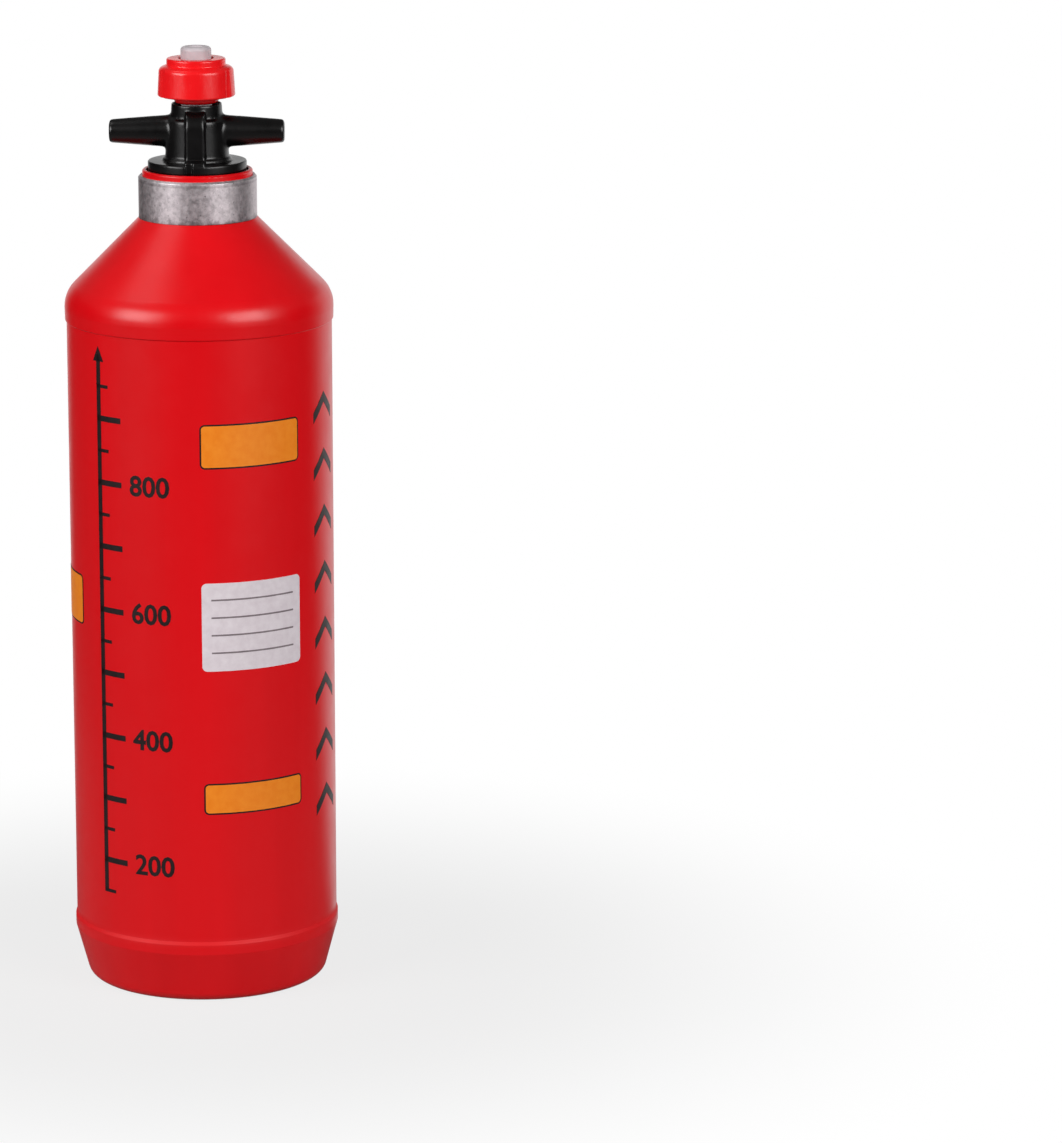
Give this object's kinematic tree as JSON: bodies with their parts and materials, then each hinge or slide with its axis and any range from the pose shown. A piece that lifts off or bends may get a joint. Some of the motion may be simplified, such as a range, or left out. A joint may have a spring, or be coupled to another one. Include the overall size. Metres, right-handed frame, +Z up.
{
  "type": "camping fuel bottle",
  "caption": "Round red plastic fuel bottle with a cone shoulder, metal neck band, winged screw cap, push-to-pour spout and a screw-down locking knob.",
  "frame": {"origin": "centre of the base, on the surface that the bottle stands on", "axes": "+Z up along the bottle's axis, the cap's wings along X, the front towards -Y"},
  "size_m": [0.084, 0.084, 0.2973],
  "materials": {
    "red_bottle": "blown plastic, satin, faint flow marks",
    "band_metal": "dull plated metal with bright edges",
    "black_cap": "moulded, fine grain",
    "white_stem": "translucent, milky",
    "red_knob": "moulded, glossy",
    "spring_steel": "drawn wire",
    "rubber": "soft, matt"
  },
  "bodies": {
    "bottle": {"bottle_shell": "red_bottle", "neck_band": "band_metal"},
    "gasket_slide": {"cap_gasket": "rubber"},
    "cap": {"cap_body": "black_cap", "return_spring": "spring_steel"},
    "stem": {"valve_stem": "white_stem", "stem_o_ring": "rubber", "valve_head": "black_cap", "valve_seal": "rubber", "head_clip": "spring_steel"},
    "knob_slide": {"knob_seal": "rubber"},
    "knob": {"lock_knob": "red_knob"}
  },
  "joints": [
    {"name": "cap_lift", "type": "slide", "parent": "bottle", "child": "gasket_slide", "axis": [0, 0, 1], "range_m": [0, 0.009]},
    {"name": "cap_turn", "type": "hinge", "parent": "gasket_slide", "child": "cap", "pos_m": [0, 0, 0.25895], "axis": [0, 0, 1], "range_deg": [0, 1080]},
    {"name": "stem_press", "type": "slide", "parent": "cap", "child": "stem", "axis": [0, 0, 1], "range_m": [-0.002, 0], "stiffness_N_per_m": 1200, "springref_m": 0.004, "deforming": ["return_spring"]},
    {"name": "knob_lift", "type": "slide", "parent": "stem", "child": "knob_slide", "axis": [0, 0, 1], "range_m": [0, 0.0029]},
    {"name": "knob_turn", "type": "hinge", "parent": "knob_slide", "child": "knob", "pos_m": [0, 0, 0.2798], "axis": [0, 0, 1], "range_deg": [0, 522]}
  ],
  "couplings": [
    {"joint": "cap_lift", "follows": "cap_turn", "m_per_rad": 0.00047746},
    {"joint": "knob_lift", "follows": "knob_turn", "m_per_rad": 0.00031831}
  ]
}
